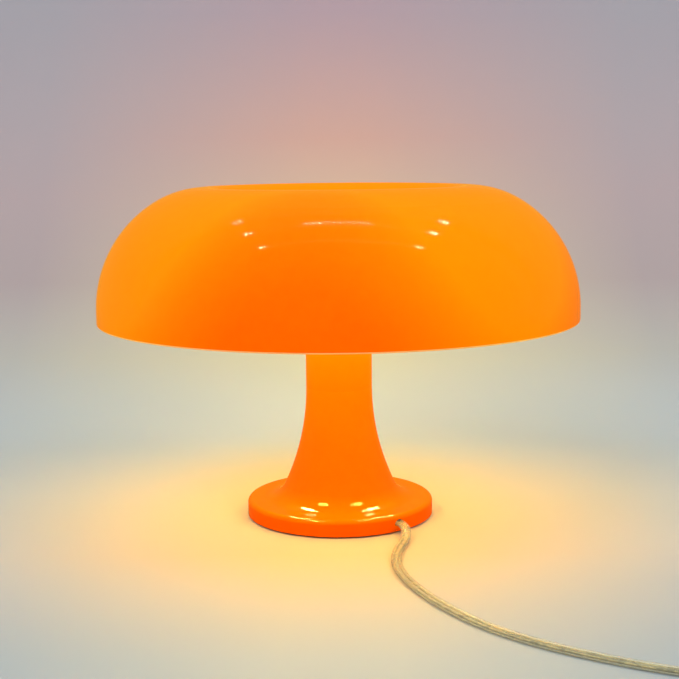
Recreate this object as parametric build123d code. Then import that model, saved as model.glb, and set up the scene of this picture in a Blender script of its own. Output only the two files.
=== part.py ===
from build123d import *

import math
import os

# A table lamp like a mushroom: a dome shade with a dished crown on a slender stem that
# flares into a round foot. Four opal globe bulbs lie crosswise under the shade. A clear
# flat twin cord leaves the foot through a notch, with a rocker switch, a coil and a plug.
# Millimetres, +Z up, origin on the table under the stem's axis, front at -Y.

# ---- Foot and stem -------------------------------------------------------------------
foot_radius = 63.0  # outside of the rim
rim_height = 12.0  # table to the flat top of the rim
rim_round = 3.0
rim_clearance = 1.2  # rim stands this far off the table, on the rubber feet
foot_round = 15.0  # concave round from the flat rim into the flare
foot_sweep = 64.2  # degrees that this round turns
flare_round = 155.0  # long concave round from there up to the straight stem
stem_radius = 22.3
stem_height = 152.0  # table to the top of the stem
skin = 3.0  # wall of the moulded foot and stem
least_round = 0.5  # inner corners of the mouldings are at least this round
stem_cap = 4.0  # closed top of the stem
web_height = 16.0  # underside of the web that the tube's lower nut pulls on
web_thickness = 3.0

# ---- Under the foot ------------------------------------------------------------------
cover_thickness = 2.0
cover_recess = 0.3  # cover lies this far inside the rim
seat_gap = 0.3  # play between pieces that are only laid in place
pad_radius = 6.0  # rubber feet
pad_inset = 13.0  # their middles, in from the foot's outside
pad_chamfer = 0.4
pad_count = 4
pad_stem_radius = 2.0
ballast_play = 3.0  # between the ballast and the foot's wall
ballast_bore = 24.0
ballast_step_inset = 7.0  # raised middle of the ballast, in from the screws' circle
ballast_step_height = 14.0
screw_radius = 1.5
screw_head_radius = 2.9
screw_head_height = 1.5
screw_fit = 0.02  # play of a screw or a tube in its hole, on the radius
screw_inset = 23.0  # the cover's screws, in from the foot's outside
screw_count = 3
first_screw_angle = 30.0
screw_tip_play = 0.3
boss_radius = 4.0
boss_roof = 14.5  # blind end of the screw holes above the table

# ---- Cord: a flat twin cord ----------------------------------------------------------
cord_width = 6.4
cord_thickness = 3.2
cord_lift = 0.3  # cord's underside above the table
corner_share = 0.45  # share of its shorter run that a corner of the cord's path takes
cord_exit_angle = -52.4  # degrees round from +X
cord_exit_height = 5.5
notch_width = 7.6
notch_top = 9.2
exit_run = 5.0  # cord goes straight on past the foot for this long
grip_inset = 1.0  # strain relief's outer end, in from the ballast's outside
grip_length = 12.0
grip_width = 12.0
grip_chamfer = 0.8
grip_wing_width = 16.0
grip_wing_length = 3.0
channel_play = 0.3
wire_radius = 0.9
wire_spacing = 3.2
block_start, block_end = 9.0, 21.0  # terminal block, from the lamp's axis
block_width = 10.0
block_height = 5.7
block_round = 1.0
lead_bend = 3.5  # bend of the wires into the tie tube

# ---- Tie tube and its nuts -----------------------------------------------------------
tube_radius = 5.0
tube_bore = 3.5
tube_below = 5.0  # tube below the nut's washer
tube_above = 6.0  # tube above the hub's floor
nut_flats = 14.0
nut_height = 3.0
washer_radius = 10.0
washer_thickness = 1.0

# ---- Hub that carries the lampholders ------------------------------------------------
hub_width = 42.0
hub_height = 32.0
hub_round = 8.0
hub_wall = 4.0
hub_post_radius = 4.0
hub_post_inset = 1.8  # posts, in from the hub's round corner
hub_screw_length = 10.0
lid_thickness = 4.0
lid_lip_depth = 3.0
lid_lip_wall = 3.0
lid_play = 0.1
spigot_radius = 14.2
spigot_wall = 3.2
spigot_chamfer = 1.0
holder_axis = 17.0  # lampholders' axis above the top of the stem
nipple_length = 12.5
nipple_inset = 0.5  # nipple's end, inside its nut's face
connector_radius = 6.5
connector_height = 10.0
connector_play = 0.1
branch_wire_radius = 0.81

# ---- Lampholders and bulbs: distances out from the lamp's axis -----------------------
bulb_count = 4
first_bulb_angle = 45.0
holder_back_radius = 9.0
holder_back_length = 2.0
holder_taper = 5.0
holder_radius = 13.5
holder_length = 38.0
holder_floor = 12.0
holder_lip = 1.0
holder_lip_length = 3.0
shell_wall = 1.4  # screw shell
shell_play = 0.3
contact_radius = 2.4
contact_length = 3.0
cap_radius = 6.95  # E14 screw cap
cap_length = 22.0
cap_play = 0.3
cap_tip_radius = 2.6
cap_tip_length = 1.4
cap_shoulder = 2.0
globe_radius = 22.5
globe_wall = 1.0
neck_radius = 11.0
neck_length = 13.7
neck_depth = 16.5  # where the globe is cut, in from its centre
neck_step = 1.0  # chamfer of the neck where the cap ends
neck_flare_start, neck_flare_end = 0.15, 0.75  # outward slope of its side at both ends

# ---- Shade ---------------------------------------------------------------------------
shade_radius = 160.0
shade_wall = 3.0
skirt_height = 8.4  # straight part over the open edge
side_round = 82.0
side_sweep = 58.5
crest_round = 64.0
lip_round = 22.0  # crest rolling inwards
lip_sweep = 65.0
dish_slope = 2.6
dish_round = 12.0
shade_edge_round = 1.2
collar_wall = 3.0
collar_height = 6.0
ring_thickness = 3.0
ring_width = 6.0
ring_chamfer = 0.4

# ---- Rocker switch in the cord -------------------------------------------------------
switch_start = 232.0  # end of the switch that faces the lamp, along +X
switch_line = -291.0  # the switch and the coil's first turn lie on this line
switch_length = 60.0
switch_width = 25.0
switch_height = 18.0
switch_parting = 6.0
switch_wall = 2.0
switch_corner = 10.0
switch_edge_round = 2.5
switch_chamfer = 0.8
switch_screw_offset = 21.5
switch_post_radius = 3.4
switch_screw_roof = 4.0  # blind end of the screw holes, under the top
rocker_radius = 10.5
rocker_width = 11.4
rocker_play = 0.5
rocker_pivot_height = 12.6
rocker_depth = 2.0
rocker_rise = 7.2
rocker_dip = 1.6
rocker_tilt = 6.0
trunnion_radius = 1.5
trunnion_play = 0.1
trunnion_length = 2.2
lug_thickness = 2.2
lug_radius = 3.2
contact_blade = 0.8
contact_width = 4.0
contact_start = 3.0  # blades, out from the switch's middle
contact_foot = 6.0
contact_rise = 1.0  # above the housing's parting
switch_run = 14.0  # cord goes straight on past the switch for this long

# ---- Coil, tail and plug -------------------------------------------------------------
coil_start_x = 345.0
coil_radius = 60.0
coil_turns = 2  # turns in each of the two layers
coil_step = 13.0  # from one turn to the next
coil_rise = 4.6  # from the lower layer to the upper
tail_run = 12.0  # straight cord at each end of the tail
tail_end_x = 300.0
plug_length = 36.0
plug_width = 35.3
plug_height = 13.7
plug_tip_width = 27.0
plug_corner = 2.0
plug_edge_round = 1.6
plug_back_length = 9.0
plug_back_width = 13.0
pin_radius = 2.0
pin_root_radius = 1.5  # of the part that is held in the plug
pin_chamfer = 0.6
pin_length = 19.0
pin_spacing = 18.6
pin_tip_spacing = 17.5
pin_seat = 5.0
pin_seat_play = 0.2  # shoulder of a pin, clear of the plug's front

# ---- Heights and lengths worked out from the sizes above -----------------------------
cover_bottom = rim_clearance + cover_recess
cover_top = cover_bottom + cover_thickness
ballast_bottom = cover_top + seat_gap
ballast_top = rim_height - skin - seat_gap
ballast_radius = foot_radius - skin - ballast_play
pad_circle = foot_radius - pad_inset
screw_circle = foot_radius - screw_inset
ballast_step_radius = screw_circle - ballast_step_inset
grip_end = ballast_radius - grip_inset
grip_start = grip_end - grip_length
cord_floor = cord_lift + cord_thickness / 2
web_top = web_height + web_thickness
tube_bottom = web_height - washer_thickness - tube_below
hub_floor = stem_height + hub_wall
tube_top = hub_floor + tube_above
hub_top = stem_height + hub_height
lid_top = hub_top + lid_thickness
bulb_height = stem_height + holder_axis
hub_half = hub_width / 2
nipple_start = hub_half - hub_wall - nut_height + nipple_inset
holder_bore = hub_half + holder_floor
holder_mouth = hub_half + holder_length
shell_bore = cap_radius + cap_play
shell_radius = shell_bore + shell_wall
cap_end = holder_mouth + shell_play
cap_start = cap_end - cap_length
globe_centre = cap_end + neck_length + neck_depth
ring_bottom = lid_top + seat_gap
ring_bore = spigot_radius + seat_gap
collar_bottom = ring_bottom + ring_thickness + seat_gap
dish_underside = collar_bottom + collar_height
spigot_top = dish_underside - seat_gap
switch_end = switch_start + switch_length
switch_middle = switch_start + switch_length / 2
exit_direction = Vector(1, 0, 0).rotate(Axis.Z, cord_exit_angle)


# ---- Helpers -------------------------------------------------------------------------
def cylinder(radius, bottom, top):
    """Upright cylinder on the lamp's axis, between two heights."""
    shape = Cylinder(radius, top - bottom, align=(Align.CENTER, Align.CENTER, Align.MIN))
    return Pos(0, 0, bottom) * shape


def ring(outer, inner, bottom, top):
    """Upright ring on the lamp's axis, between two heights."""
    return cylinder(outer, bottom, top) - cylinder(inner, bottom, top)


def box_between(x_span, y_span, z_span):
    """Box between two values on each axis."""
    sizes = [high - low for low, high in (x_span, y_span, z_span)]
    centre = [(low + high) / 2 for low, high in (x_span, y_span, z_span)]
    return Pos(*centre) * Box(*sizes)


def turned(*edges):
    """Solid of revolution about Z from a closed outline of radius and height."""
    return revolve(Plane.XZ * make_face(Curve() + list(edges)), Axis.Z)


def turned_outline(*points):
    """Solid of revolution about Z from a polygon of (radius, height) corners."""
    return revolve(Plane.XZ * make_face(Polyline(*points, close=True)), Axis.Z)


def radial(part, angle, height):
    """Turn a part built along +Z to point outwards from the lamp's axis at an angle."""
    return Pos(0, 0, height) * Rot(0, 0, angle) * Rot(0, 90, 0) * part


def around(part, count, first_angle=0.0):
    """Copies of a part, evenly turned about the lamp's axis."""
    return [Rot(0, 0, first_angle + 360 / count * i) * part for i in range(count)]


def nut(bottom):
    """Thin hexagonal nut on the tie tube."""
    prism = extrude(RegularPolygon(nut_flats / 2, 6, major_radius=False), nut_height)
    return Pos(0, 0, bottom) * prism - cylinder(
        tube_radius + screw_fit, bottom, bottom + nut_height
    )


def washer(bottom):
    """Flat washer on the tie tube."""
    return ring(washer_radius, tube_radius + screw_fit, bottom, bottom + washer_thickness)


def screw(length, radius=screw_radius, head=screw_head_radius):
    """Countersunk screw along +Z, its head flush with z = 0 and its point at length."""
    return turned_outline(
        (0, 0), (head, 0), (radius, screw_head_height), (radius, length), (0, length)
    )


def cord_path(points):
    """Path along a cord's chosen points, each corner as round as its two runs allow."""
    runs = [Vector(*b) - Vector(*a) for a, b in zip(points, points[1:])]
    radii = []
    for before, after in zip(runs, runs[1:]):
        half_turn = math.radians(before.get_angle(after)) / 2
        radii.append(corner_share * min(before.length, after.length) / math.tan(half_turn))
    print("cord radii", [round(radius, 1) for radius in radii])
    return FilletPolyline(*points, radius=radii)


def flat_cord(path):
    """Flat twin cord along a path that starts with its width level."""
    level = Vector(0, 0, 1).cross(path % 0)
    start = Plane(origin=path @ 0, x_dir=level, z_dir=path % 0)
    section = start * SlotOverall(cord_width, cord_thickness)
    solid = sweep(section, path=path)
    share = solid.volume / (section.area * path.length)
    print("cord volume over section times length", round(share, 4))
    return solid


# ---- Foot and stem -------------------------------------------------------------------
def flared_body(inset):
    """Solid inside the flared outline, drawn in by inset, from the rim's edge up."""
    foot_start = rim_height + foot_round * (1 - math.cos(math.radians(foot_sweep)))
    flare_top = foot_start + flare_round * math.cos(math.radians(foot_sweep))
    bottom = rim_clearance if inset == 0 else 0
    stem = Line(
        (stem_radius - inset, stem_height - (stem_cap if inset else 0)),
        (stem_radius - inset, flare_top),
    )
    flare = JernArc(stem @ 1, stem % 1, flare_round + inset, 90 - foot_sweep)
    foot = JernArc(flare @ 1, flare % 1, foot_round + inset, foot_sweep)
    corner = max(rim_round - inset, least_round)
    flat = Line(foot @ 1, (foot_radius - inset - corner, (foot @ 1).Y))
    edge = JernArc(flat @ 1, flat % 1, corner, -90)
    wall = Line(edge @ 1, (foot_radius - inset, bottom))
    base = Line(wall @ 1, (0, bottom))
    axis = Line((0, bottom), (0, (stem @ 0).Y))
    top = Line(axis @ 1, stem @ 0)
    return turned(stem, flare, foot, flat, edge, wall, base, axis, top)


def base_body():
    """Moulded foot and stem in one, with its web, its bosses and the cord's notch."""
    outside = flared_body(0)
    body = outside - flared_body(skin)
    body += outside & cylinder(foot_radius, web_height, web_top)
    boss = Pos(screw_circle, 0, 0) * cylinder(boss_radius, ballast_top + seat_gap, web_top)
    hole = Pos(screw_circle, 0, 0) * cylinder(screw_radius + screw_fit, 0, boss_roof)
    for placed in around(boss, screw_count, first_screw_angle):
        body += outside & placed
    for placed in around(hole, screw_count, first_screw_angle):
        body -= placed
    body -= cylinder(tube_radius + screw_fit, web_height, stem_height)
    notch = Pos(0, 0, notch_top - notch_width / 2) * Rot(0, 90, 0) * cylinder(
        notch_width / 2, grip_end, foot_radius + skin
    ) + box_between(
        (grip_end, foot_radius + skin),
        (-notch_width / 2, notch_width / 2),
        (0, notch_top - notch_width / 2),
    )
    return body - Rot(0, 0, cord_exit_angle) * notch


def bottom_cover():
    """Disc that closes the foot, with holes for the screws and the rubber feet."""
    cover = cylinder(foot_radius - skin - seat_gap, cover_bottom, cover_top)
    pad_hole = Pos(pad_circle, 0, 0) * cylinder(
        pad_stem_radius + screw_fit, cover_bottom, cover_top
    )
    screw_hole = Pos(screw_circle, 0, cover_bottom) * turned_outline(
        (0, 0),
        (screw_head_radius + screw_fit, 0),
        (screw_radius + screw_fit, screw_head_height),
        (screw_radius + screw_fit, cover_thickness),
        (0, cover_thickness),
    )
    pad_holes = around(pad_hole, pad_count)
    for placed in pad_holes + around(screw_hole, screw_count, first_screw_angle):
        cover -= placed
    return cover


def rubber_feet():
    """Round rubber feet with their stems pressed through the cover."""
    pad = cylinder(pad_radius, 0, cover_bottom)
    pad = chamfer(pad.edges().group_by(Axis.Z)[0], pad_chamfer)
    pad += cylinder(pad_stem_radius, cover_bottom, cover_top)
    return around(Pos(pad_circle, 0, 0) * pad, pad_count)


def base_screws():
    """Screws that hold the cover and the ballast to the moulded bosses."""
    one = Pos(screw_circle, 0, cover_bottom) * screw(
        boss_roof - screw_tip_play - cover_bottom
    )
    return around(one, screw_count, first_screw_angle)


def ballast_weight():
    """Cast ring that steadies the lamp, with a channel for the cord and its relief."""
    weight = ring(ballast_radius, ballast_bore, ballast_bottom, ballast_top)
    weight += ring(ballast_step_radius, ballast_bore, ballast_bottom, ballast_step_height)
    hole = Pos(screw_circle, 0, 0) * cylinder(
        screw_radius + seat_gap, ballast_bottom, ballast_top
    )
    for placed in around(hole, screw_count, first_screw_angle):
        weight -= placed
    half_channel = grip_width / 2 + channel_play
    channel = box_between(
        (0, foot_radius), (-half_channel, half_channel), (0, ballast_step_height)
    )
    wing_middle = (grip_start + grip_end) / 2
    half_pocket = grip_wing_length / 2 + channel_play
    channel += box_between(
        (wing_middle - half_pocket, wing_middle + half_pocket),
        (-grip_wing_width / 2 - channel_play, grip_wing_width / 2 + channel_play),
        (0, ballast_step_height),
    )
    return weight - Rot(0, 0, cord_exit_angle) * channel


def cord_grip():
    """Strain relief moulded on the cord, its wings held in the ballast's channel."""
    height = (cover_top + seat_gap, ballast_top)
    block = box_between((grip_start, grip_end), (-grip_width / 2, grip_width / 2), height)
    block = chamfer(block.edges().filter_by(Axis.X), grip_chamfer)
    middle = (grip_start + grip_end) / 2
    wings = box_between(
        (middle - grip_wing_length / 2, middle + grip_wing_length / 2),
        (-grip_wing_width / 2, grip_wing_width / 2),
        height,
    )
    return Rot(0, 0, cord_exit_angle) * (block + wings)


def terminal_block():
    """Two-pole terminal block that lies on the cover, beside the tube's lower end."""
    block = box_between(
        (block_start, block_end),
        (-block_width / 2, block_width / 2),
        (cover_top + seat_gap, cover_top + seat_gap + block_height),
    )
    block = fillet(block.edges().filter_by(Axis.Z), block_round)
    return Rot(0, 0, cord_exit_angle) * block


def base_leads():
    """The cord's two cores, from its strain relief to the terminal block."""
    core = Cylinder(
        wire_radius, grip_start - block_end, align=(Align.CENTER, Align.CENTER, Align.MIN)
    )
    core = Pos(0, 0, block_end) * core
    return [
        radial(Pos(0, side * wire_spacing / 2, 0) * core, cord_exit_angle, cord_exit_height)
        for side in (-1, 1)
    ]


def stem_leads():
    """Two wires from the terminal block round into the tie tube and up to the hub."""
    wires = []
    for side in (-wire_spacing / 2, wire_spacing / 2):
        route = FilletPolyline(
            (block_start, side, cord_exit_height),
            (0, side, cord_exit_height),
            (0, side, bulb_height - connector_height / 2),
            radius=lead_bend,
        )
        section = Plane(origin=route @ 0, z_dir=route % 0) * Circle(wire_radius)
        wires.append(Rot(0, 0, cord_exit_angle) * sweep(section, path=route))
    return wires


def threaded_tube():
    """Tie tube that clamps the hub to the stem and carries the wires."""
    return ring(tube_radius, tube_bore, tube_bottom, tube_top)


# ---- Hub and lampholders -------------------------------------------------------------
def hub_prism(shrink, bottom, top):
    """Upright square prism with round corners, its flats facing the lampholders."""
    width = hub_width - 2 * shrink
    square = RectangleRounded(width, width, max(hub_round - shrink, least_round))
    return Pos(0, 0, bottom) * Rot(0, 0, first_bulb_angle) * extrude(square, top - bottom)


def hub_posts(radius, bottom, top):
    """Two upright cylinders in opposite corners of the hub."""
    corner = hub_half * math.sqrt(2) - hub_round * (math.sqrt(2) - 1)
    post = Pos(corner - hub_post_radius - hub_post_inset, 0, 0) * cylinder(radius, bottom, top)
    return around(post, 2)


def holder_hub():
    """Square hub on the stem, open at the top, with a hole for each lampholder."""
    hub = hub_prism(0, stem_height, hub_top) - hub_prism(hub_wall, hub_floor, hub_top)
    for post in hub_posts(hub_post_radius, hub_floor, hub_top):
        hub += post
    for hole in hub_posts(screw_radius + screw_fit, hub_top - hub_screw_length, hub_top):
        hub -= hole
    hub -= cylinder(tube_radius + screw_fit, stem_height, hub_floor)
    for bore in each_bulb(cylinder(tube_radius + screw_fit, nipple_start, holder_bore)):
        hub -= bore
    return hub


def hub_lid():
    """Lid of the hub with the spigot that centres the shade."""
    lid = hub_prism(0, hub_top, lid_top)
    lip = hub_prism(hub_wall + lid_play, hub_top - lid_lip_depth, hub_top)
    lip -= hub_prism(hub_wall + lid_lip_wall, hub_top - lid_lip_depth, hub_top)
    for post in hub_posts(hub_post_radius + lid_play, hub_top - lid_lip_depth, hub_top):
        lip -= post
    spigot = ring(spigot_radius, spigot_radius - spigot_wall, lid_top, spigot_top)
    rim = spigot.edges().group_by(Axis.Z)[-1].sort_by(SortBy.LENGTH)[-1]
    spigot = chamfer(rim, spigot_chamfer)
    lid += lip + spigot
    for hole in hub_posts(screw_radius + screw_fit, hub_top, lid_top):
        lid -= hole
    for sink in hub_posts(screw_head_radius + screw_fit, lid_top - screw_head_height, lid_top):
        lid -= sink
    return lid


def hub_screws():
    """Screws that hold the lid on the hub."""
    screws = hub_posts(screw_radius, hub_top - hub_screw_length + screw_tip_play, lid_top)
    heads = hub_posts(screw_head_radius, lid_top - screw_head_height, lid_top)
    return [shank + head for shank, head in zip(screws, heads)]


def holder_nipples():
    """Threaded nipples that hold the lampholders on the hub."""
    nipple = ring(tube_radius, tube_bore, nipple_start, nipple_start + nipple_length)
    return each_bulb(nipple)


def nipple_nuts():
    """Nuts on the nipples, inside the hub."""
    return each_bulb(nut(hub_half - hub_wall - nut_height))


def each_bulb(part):
    """Copies of a part built along +Z, one out along each bulb's axis."""
    return [
        radial(part, first_bulb_angle + 360 / bulb_count * index, bulb_height)
        for index in range(bulb_count)
    ]


def lead_connector():
    """Connector in the hub, where the wires branch to the lampholders."""
    half = connector_height / 2
    return cylinder(connector_radius, bulb_height - half, bulb_height + half)


def holder_leads():
    """Two wires from the connector to each lampholder's contact base."""
    start = connector_radius + connector_play
    core = cylinder(branch_wire_radius, start, holder_bore - contact_length)
    first, second = (Pos(0, side * wire_spacing / 2, 0) * core for side in (-1, 1))
    return each_bulb(first) + each_bulb(second)


def lampholder():
    """Moulded sleeve of one lampholder, along +Z from the lamp's axis."""
    taper_start = hub_half + holder_back_length
    taper_end = taper_start + holder_taper
    lip_start = holder_mouth - holder_lip_length
    return turned_outline(
        (tube_radius + screw_fit, hub_half),
        (holder_back_radius, hub_half),
        (holder_back_radius, taper_start),
        (holder_radius, taper_end),
        (holder_radius, lip_start),
        (holder_radius + holder_lip, lip_start),
        (holder_radius + holder_lip, holder_mouth - holder_lip / 2),
        (holder_radius + holder_lip / 2, holder_mouth),
        (shell_radius + shell_play, holder_mouth),
        (shell_radius + shell_play, holder_bore),
        (tube_radius + screw_fit, holder_bore),
    )


def screw_shell():
    """Metal screw shell of one lampholder."""
    return ring(shell_radius, shell_bore, holder_bore, holder_mouth - shell_play)


def centre_contact():
    """Contact base of one lampholder, with its stud under the bulb's tip."""
    base = cylinder(tube_radius, holder_bore - contact_length, holder_bore)
    return base + cylinder(contact_radius, holder_bore, cap_start - shell_play)


def bulb_cap():
    """Metal screw cap of one bulb with its tip contact."""
    return turned_outline(
        (0, cap_start),
        (cap_tip_radius, cap_start),
        (cap_tip_radius, cap_start + cap_tip_length),
        (cap_radius - cap_tip_length, cap_start + cap_tip_length),
        (cap_radius, cap_start + cap_tip_length + cap_shoulder),
        (cap_radius, cap_end),
        (0, cap_end),
    )


def bulb_collar():
    """Neck between one bulb's cap and its globe."""
    neck_end = cap_end + neck_length
    globe_mouth = math.sqrt(globe_radius**2 - neck_depth**2)
    side = Spline(
        (neck_radius, cap_end + neck_step),
        (globe_mouth, neck_end),
        tangents=((neck_flare_start, 1), (neck_flare_end, 1)),
    )
    step_foot = (neck_radius - neck_step, cap_end)
    start = Polyline((0, neck_end), (0, cap_end), step_foot, side @ 0)
    end = Line(side @ 1, (0, neck_end))
    return turned(start, side, end)


def bulb_globe():
    """Hollow opal globe of one bulb, cut where its neck starts."""
    globe = Pos(0, 0, globe_centre) * (Sphere(globe_radius) - Sphere(globe_radius - globe_wall))
    return globe - cylinder(globe_radius, globe_centre - globe_radius, globe_centre - neck_depth)


# ---- Shade ---------------------------------------------------------------------------
def dome(inset):
    """Solid under the shade's outline, drawn in by inset, standing on z = 0."""
    skirt = Line((shade_radius - inset, 0), (shade_radius - inset, skirt_height))
    side = JernArc(skirt @ 1, skirt % 1, side_round - inset, side_sweep)
    crest = JernArc(side @ 1, side % 1, crest_round - inset, 90 - side_sweep)
    lip = JernArc(crest @ 1, crest % 1, lip_round - inset, lip_sweep)
    slope = Line(lip @ 1, lip @ 1 + (lip % 1) * dish_slope)
    dish = JernArc(slope @ 1, slope % 1, dish_round + inset, -lip_sweep)
    floor = Line(dish @ 1, (0, (dish @ 1).Y))
    axis = Line(floor @ 1, (0, 0))
    base = Line((0, 0), skirt @ 0)
    solid = turned(skirt, side, crest, lip, slope, dish, floor, axis, base)
    return solid, (dish @ 1).Y


def shade():
    """Dome shade with its dished crown and the collar that fits the spigot."""
    outside, _ = dome(0)
    inside, underside = dome(shade_wall)
    shell = outside - inside
    shell = fillet(shell.edges().group_by(Axis.Z)[0], shade_edge_round)
    collar = ring(
        spigot_radius + seat_gap + collar_wall,
        spigot_radius + seat_gap,
        underside - collar_height,
        underside,
    )
    return Pos(0, 0, dish_underside - underside) * (shell + collar)


def shade_seat_ring():
    """Loose ring on the hub's lid, on which the shade rests and turns."""
    seat = ring(ring_bore + ring_width, ring_bore, ring_bottom, ring_bottom + ring_thickness)
    return chamfer(seat.edges(), ring_chamfer)


# ---- Switch in the cord --------------------------------------------------------------
def switch_shell(shrink, bottom, top):
    """Rounded block of the switch's outline, drawn in by shrink."""
    outline = RectangleRounded(
        switch_length - 2 * shrink, switch_width - 2 * shrink, switch_corner - shrink
    )
    return Pos(switch_middle, switch_line, bottom) * extrude(outline, top - bottom)


def switch_posts(radius, bottom, top):
    """Two upright cylinders for the switch's screws."""
    return [
        Pos(switch_middle + side * switch_screw_offset, switch_line, 0)
        * cylinder(radius, bottom, top)
        for side in (-1, 1)
    ]


def switch_base():
    """Lower half of the switch's housing."""
    half = switch_shell(0, 0, switch_parting)
    half = chamfer(half.edges().group_by(Axis.Z)[0], switch_chamfer)
    half -= switch_shell(switch_wall, switch_wall, switch_parting)
    for post in switch_posts(switch_post_radius, switch_wall, switch_parting):
        half += post
    for place in (-1, 1):
        half -= Pos(switch_middle + place * switch_screw_offset, switch_line, 0) * (
            turned_outline(
                (0, 0),
                (screw_head_radius + screw_fit, 0),
                (screw_radius + screw_fit, screw_head_height),
                (screw_radius + screw_fit, switch_parting),
                (0, switch_parting),
            )
        )
    return half


def rocker_axis():
    """Place of the rocker's pivot, with local Z along its axis."""
    return Pos(switch_middle, switch_line, rocker_pivot_height) * Rot(90, 0, 0)


def switch_cover():
    """Upper half of the housing, with the rocker's window and its two lugs."""
    half = switch_shell(0, switch_parting, switch_height)
    half = fillet(half.edges().group_by(Axis.Z)[-1], switch_edge_round)
    half -= switch_shell(switch_wall, switch_parting, switch_height - switch_wall)
    for post in switch_posts(switch_post_radius, switch_parting, switch_height - switch_wall):
        half += post
    screw_roof = switch_height - switch_screw_roof
    for hole in switch_posts(screw_radius + screw_fit, switch_parting, screw_roof):
        half -= hole
    half_window = rocker_radius + rocker_play
    half_width = rocker_width / 2 + rocker_play
    lug_middle = half_width + lug_thickness / 2
    for side in (-1, 1):
        lug = Pos(0, 0, side * lug_middle) * Cylinder(lug_radius, lug_thickness)
        lug += Pos(0, (switch_height - rocker_pivot_height) / 2, side * lug_middle) * Box(
            2 * lug_radius, switch_height - rocker_pivot_height - switch_wall / 2, lug_thickness
        )
        half += rocker_axis() * lug
    bearing = Cylinder(trunnion_radius + trunnion_play, 2 * (half_width + lug_thickness))
    half -= rocker_axis() * bearing
    return half - box_between(
        (switch_middle - half_window, switch_middle + half_window),
        (switch_line - half_width, switch_line + half_width),
        (switch_parting, 2 * switch_height),
    )


def switch_rocker():
    """Rocker with a dipped top on its two trunnions, resting in its ON position."""
    middle_rise = rocker_rise - rocker_dip
    wide = 2 * rocker_radius
    end_rise = rocker_rise + rocker_dip  # where the dip's straight sides would end
    outline = make_face(
        Polyline(
            (-wide, -rocker_depth),
            (wide, -rocker_depth),
            (wide, end_rise),
            (0, middle_rise),
            (-wide, end_rise),
            close=True,
        )
    )
    body = extrude(outline & Circle(rocker_radius), rocker_width / 2, both=True)
    reach = rocker_width / 2 + rocker_play + trunnion_length
    trunnions = Cylinder(trunnion_radius, 2 * reach)
    return rocker_axis() * Rot(0, 0, -rocker_tilt) * (body + trunnions)


def switch_contacts():
    """Two spring blades on the floor of the switch, under the rocker's ends."""
    across = (-contact_width / 2, contact_width / 2)
    foot_span = (contact_start, contact_start + contact_foot)
    blade_span = (contact_start, contact_start + contact_blade)
    foot = box_between(foot_span, across, (switch_wall, switch_wall + contact_blade))
    blade = box_between(blade_span, across, (switch_wall, switch_parting + contact_rise))
    place = Pos(switch_middle, switch_line, 0)
    return [place * turned_blade for turned_blade in around(foot + blade, 2)]


def switch_screws():
    """Screws from below that close the switch."""
    return [
        Pos(switch_middle + side * switch_screw_offset, switch_line, 0)
        * screw(switch_height - switch_screw_roof - screw_tip_play)
        for side in (-1, 1)
    ]


# ---- Cord ----------------------------------------------------------------------------
def lamp_cord():
    """Cord from its strain relief, out of the notch and over the table to the switch."""
    leave = exit_direction * grip_end
    clear = exit_direction * (foot_radius + exit_run)
    return flat_cord(
        cord_path(
            [
                (leave.X, leave.Y, cord_exit_height),
                (clear.X, clear.Y, cord_exit_height),
                (42.4, -69.0, 2.3),
                (35.6, -90.5, cord_floor),
                (32.6, -113.5, cord_floor),
                (35.2, -137.5, cord_floor),
                (43.4, -164.5, cord_floor),
                (56.6, -193.0, cord_floor),
                (76.0, -223.0, cord_floor),
                (103.0, -248.5, cord_floor),
                (136.0, -269.5, cord_floor),
                (166.0, -284.0, cord_floor),
                (190.0, switch_line, cord_floor),
                (212.0, switch_line, switch_parting),
                (switch_start, switch_line, switch_parting),
            ]
        )
    )


def cord_to_coil():
    """Short stretch from the switch down to the coil."""
    return flat_cord(
        cord_path(
            [
                (switch_end, switch_line, switch_parting),
                (switch_end + switch_run, switch_line, switch_parting),
                (324.0, switch_line, cord_floor),
                (coil_start_x - cord_width, switch_line, cord_floor),
            ]
        )
    )


def half_turns():
    """Ends of the coil's half turns, below and above its centre by turns."""
    in_steps = 2 * coil_turns
    radii = [coil_radius - coil_step / 2 * step for step in range(in_steps + 1)]
    radii += radii[::-1]
    points = []
    for index, radius in enumerate(radii):
        height = cord_floor + (coil_rise if index > in_steps else 0)
        side = -1 if index % 2 == 0 else 1
        points.append(Vector(coil_start_x, switch_line + coil_radius + side * radius, height))
    return points


def coil_path():
    """Centreline of the coil: in and out in two layers, each half turn a biarc."""
    points = half_turns()
    edges = [Line(points[0] - (cord_width, 0, 0), points[0])]
    for index, (start, end) in enumerate(zip(points, points[1:])):
        along = Vector(1 if index % 2 == 0 else -1, 0, 0)
        across = end - start
        middle = (start + end) * 0.5 + along * (across.length / 2)
        edges.append(TangentArc(start, middle, tangent=along))
        edges.append(TangentArc(middle, end, tangent=across))
    edges.append(Line(points[-1], points[-1] - (cord_width, 0, 0)))
    return Wire([edge for curve in edges for edge in curve.edges()])


def least_self_gap(path):
    """Least gap between two turns of the flat cord along a path."""
    count = int(path.length / 2)
    spots = [path.position_at(index / count) for index in range(count + 1)]
    apart = int(coil_radius / 2)
    least = math.inf
    for index, spot in enumerate(spots):
        for other in spots[index + apart :]:
            across = math.hypot(other.X - spot.X, other.Y - spot.Y) - cord_width
            least = min(least, max(across, abs(other.Z - spot.Z) - cord_thickness))
    return least


def cord_coil():
    """The spare cord, coiled flat in two layers."""
    path = coil_path()
    print("coil's least gap to itself", round(least_self_gap(path), 2))
    print("coil length", round(path.length, 1))
    return flat_cord(path)


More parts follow.
